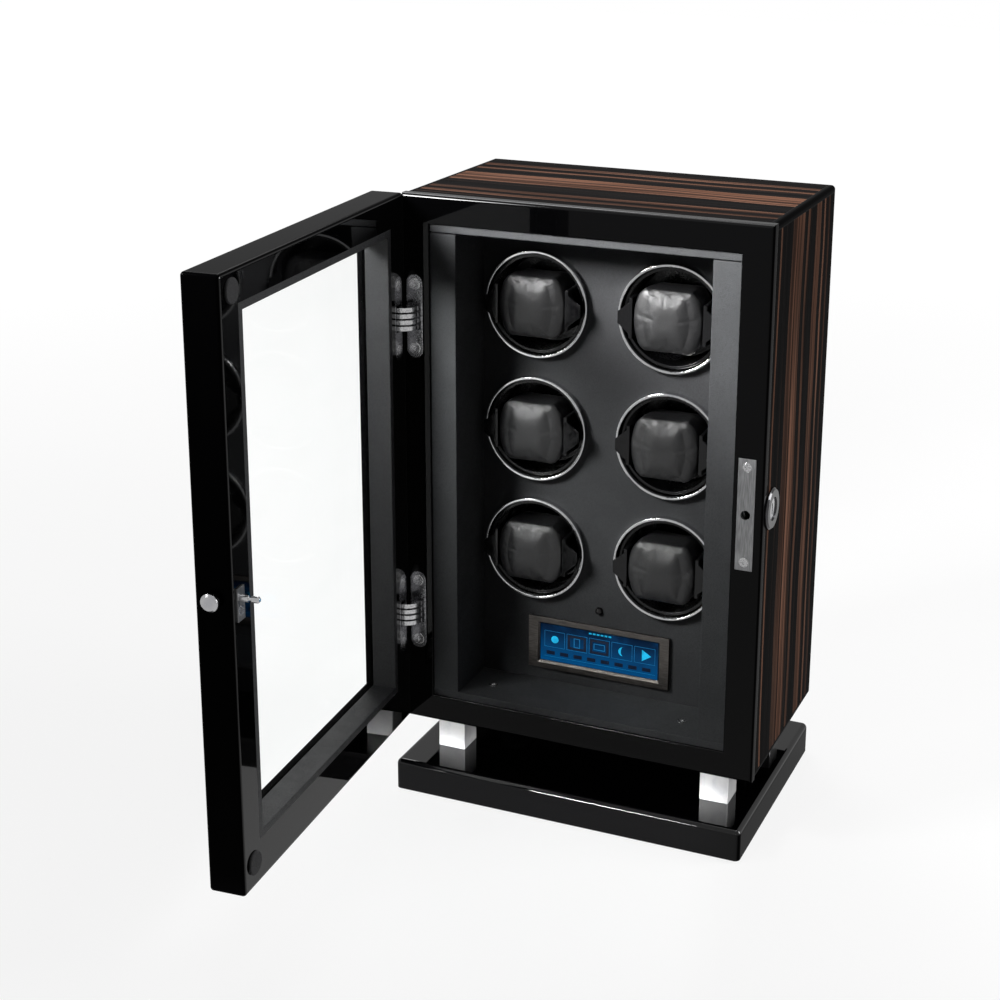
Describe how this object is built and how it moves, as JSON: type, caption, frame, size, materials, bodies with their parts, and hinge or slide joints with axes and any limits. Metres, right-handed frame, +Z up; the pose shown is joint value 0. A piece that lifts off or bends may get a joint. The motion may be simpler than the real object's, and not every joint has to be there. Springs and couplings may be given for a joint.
{
  "type": "watch winder box",
  "caption": "Upright veneered watch winder cabinet with a glazed door, turning watch cups, a lit display, a key lock and a raised plinth.",
  "frame": {"origin": "centre of the plinth's underside, on the surface the box stands on", "axes": "+Z up, -Y towards the front where the watches show, +X to the right seen from the front"},
  "size_m": [0.3022, 0.445, 0.4625],
  "materials": {
    "veneer": "striped dark veneer under clear gloss lacquer",
    "black_lacquer": "high gloss black lacquer",
    "back_board": "satin black",
    "polished_chrome": "polished",
    "lining_grey": "matt grained leatherette",
    "rotor_black": "gloss black",
    "cushion_leather": "smooth black leatherette",
    "cuff_black": "gloss black",
    "inner_board": "raw fibreboard",
    "motor_metal": "plain",
    "bezel_satin": "satin",
    "screen_blue": "backlit display",
    "circuit_green": "solder mask",
    "sensor_dark": "dark lens",
    "light_diffuser": "diffusing",
    "inlet_black": "moulded",
    "satin_steel": "satin",
    "hinge_zinc": "zinc plated",
    "screw_steel": "plated",
    "window_glass": "clear",
    "felt_black": "felt",
    "felt_grey": "felt"
  },
  "bodies": {
    "cabinet": {"base_felt": "felt_black", "plinth": "black_lacquer", "pillars": "polished_chrome", "pillar_bolts": "screw_steel", "side_panel_left": "veneer", "side_panel_right": "veneer", "top_panel": "veneer", "bottom_panel": "black_lacquer", "back_panel": "back_board", "front_frame": "black_lacquer", "edge_bands": "black_lacquer", "lining_left": "lining_grey", "lining_right": "lining_grey", "lining_top": "lining_grey", "lining_floor": "lining_grey", "light_bar": "light_diffuser", "rotor_panel": "lining_grey", "rotor_rings": "polished_chrome", "motor_board": "inner_board", "rotor_motors": "motor_metal", "screen_bezel": "bezel_satin", "lcd_module": "screen_blue", "control_board": "circuit_green", "ir_sensor": "sensor_dark", "dc_power_jack": "inlet_black", "lock_plate": "satin_steel", "lock_case": "satin_steel", "lock_escutcheon": "polished_chrome", "hinge_leaves_case": "hinge_zinc", "case_screws": "screw_steel"},
    "door": {"door_frame": "black_lacquer", "door_glass": "window_glass", "door_liner": "lining_grey", "door_knob": "polished_chrome", "strike_plate": "satin_steel", "strike_pin": "polished_chrome", "door_bumpers": "felt_grey", "hinge_leaves_door": "hinge_zinc", "door_screws": "screw_steel"},
    "hinge_arms": {"hinge_links": "hinge_zinc"},
    "key_plug": {"lock_plug": "polished_chrome"},
    "latch": {"lock_bolt": "satin_steel"},
    "rotor_1": {"rotor_cup_1": "rotor_black"},
    "cushion_1": {"watch_cushion_1": "cushion_leather", "cushion_cuff_1": "cuff_black"},
    "rotor_2": {"rotor_cup_2": "rotor_black"},
    "cushion_2": {"watch_cushion_2": "cushion_leather", "cushion_cuff_2": "cuff_black"},
    "rotor_3": {"rotor_cup_3": "rotor_black"},
    "cushion_3": {"watch_cushion_3": "cushion_leather", "cushion_cuff_3": "cuff_black"},
    "rotor_4": {"rotor_cup_4": "rotor_black"},
    "cushion_4": {"watch_cushion_4": "cushion_leather", "cushion_cuff_4": "cuff_black"},
    "rotor_5": {"rotor_cup_5": "rotor_black"},
    "cushion_5": {"watch_cushion_5": "cushion_leather", "cushion_cuff_5": "cuff_black"},
    "rotor_6": {"rotor_cup_6": "rotor_black"},
    "cushion_6": {"watch_cushion_6": "cushion_leather", "cushion_cuff_6": "cuff_black"}
  },
  "joints": [
    {"name": "door_hinge", "type": "hinge", "parent": "cabinet", "child": "door", "pos_m": [-0.136, -0.0729, 0.2575], "axis": [0, 0, -1], "range_deg": [-86, 14]},
    {"name": "hinge_fold", "type": "hinge", "parent": "cabinet", "child": "hinge_arms", "pos_m": [-0.136, -0.0729, 0.2575], "axis": [0, 0, -1], "range_deg": [-43, 7]},
    {"name": "key_turn", "type": "hinge", "parent": "cabinet", "child": "key_plug", "pos_m": [0.1258, -0.0505, 0.2575], "axis": [1, 0, 0], "range_deg": [0, 90]},
    {"name": "latch_slide", "type": "slide", "parent": "cabinet", "child": "latch", "axis": [0, 0, 1], "range_m": [0, 0.004]},
    {"name": "rotor_spin_1", "type": "hinge", "parent": "cabinet", "child": "rotor_1", "pos_m": [-0.0523, -0.0205, 0.3785], "axis": [0, -1, 0], "continuous": true},
    {"name": "cushion_pull_1", "type": "slide", "parent": "rotor_1", "child": "cushion_1", "axis": [0, -1, 0], "range_m": [0, 0.045]},
    {"name": "rotor_spin_2", "type": "hinge", "parent": "cabinet", "child": "rotor_2", "pos_m": [0.0523, -0.0205, 0.3785], "axis": [0, -1, 0], "continuous": true},
    {"name": "cushion_pull_2", "type": "slide", "parent": "rotor_2", "child": "cushion_2", "axis": [0, -1, 0], "range_m": [0, 0.045]},
    {"name": "rotor_spin_3", "type": "hinge", "parent": "cabinet", "child": "rotor_3", "pos_m": [-0.0523, -0.0205, 0.283], "axis": [0, -1, 0], "continuous": true},
    {"name": "cushion_pull_3", "type": "slide", "parent": "rotor_3", "child": "cushion_3", "axis": [0, -1, 0], "range_m": [0, 0.045]},
    {"name": "rotor_spin_4", "type": "hinge", "parent": "cabinet", "child": "rotor_4", "pos_m": [0.0523, -0.0205, 0.283], "axis": [0, -1, 0], "continuous": true},
    {"name": "cushion_pull_4", "type": "slide", "parent": "rotor_4", "child": "cushion_4", "axis": [0, -1, 0], "range_m": [0, 0.045]},
    {"name": "rotor_spin_5", "type": "hinge", "parent": "cabinet", "child": "rotor_5", "pos_m": [-0.0523, -0.0205, 0.1875], "axis": [0, -1, 0], "continuous": true},
    {"name": "cushion_pull_5", "type": "slide", "parent": "rotor_5", "child": "cushion_5", "axis": [0, -1, 0], "range_m": [0, 0.045]},
    {"name": "rotor_spin_6", "type": "hinge", "parent": "cabinet", "child": "rotor_6", "pos_m": [0.0523, -0.0205, 0.1875], "axis": [0, -1, 0], "continuous": true},
    {"name": "cushion_pull_6", "type": "slide", "parent": "rotor_6", "child": "cushion_6", "axis": [0, -1, 0], "range_m": [0, 0.045]}
  ],
  "couplings": [
    {"joint": "hinge_fold", "follows": "door_hinge", "ratio": 0.5},
    {"joint": "latch_slide", "follows": "key_turn", "m_per_rad": 0.0025465}
  ]
}
